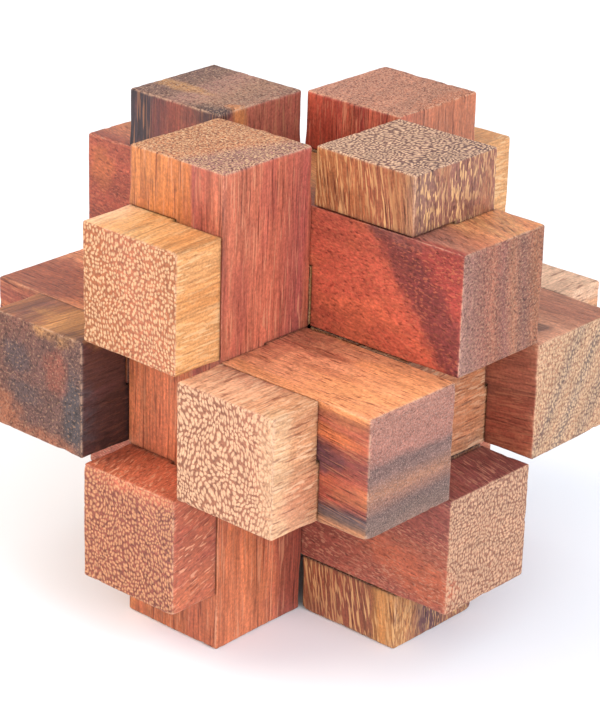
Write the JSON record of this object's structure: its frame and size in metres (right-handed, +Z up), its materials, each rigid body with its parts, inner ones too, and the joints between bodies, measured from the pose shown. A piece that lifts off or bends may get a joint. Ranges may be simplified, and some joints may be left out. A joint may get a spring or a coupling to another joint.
{
  "type": "wooden burr puzzle",
  "caption": "Interlocking burr puzzle of equal square hardwood sticks with half-depth notches; its two halves slide apart by one stick width.",
  "frame": {"origin": "centre of the footprint, on the surface that the puzzle stands on", "axes": "+Z up, +X to the right along the crossbars and the way the sliding half moves, +Y to the back along the runners"},
  "size_m": [0.0766, 0.0766, 0.0766],
  "materials": {
    "orange_wood": "oiled, fine open grain",
    "red_wood": "oiled, fine open grain",
    "dark_wood": "oiled, fine open grain",
    "streaked_wood": "oiled, coarse streaked grain",
    "tan_wood": "oiled, coarse open grain",
    "golden_wood": "oiled, fine open grain",
    "cream_wood": "oiled, coarse open grain"
  },
  "bodies": {
    "still_half": {"top_crossbar": "red_wood", "bottom_crossbar": "red_wood", "top_runner": "golden_wood", "bottom_runner": "red_wood", "left_upright": "dark_wood", "right_upright": "streaked_wood"},
    "sliding_half": {"front_crossbar": "orange_wood", "back_crossbar": "tan_wood", "left_runner": "dark_wood", "right_runner": "cream_wood", "front_upright": "orange_wood", "back_upright": "red_wood"}
  },
  "joints": [
    {"name": "halves_slide", "type": "slide", "parent": "still_half", "child": "sliding_half", "axis": [1, 0, 0], "range_m": [0, 0.0193]}
  ]
}
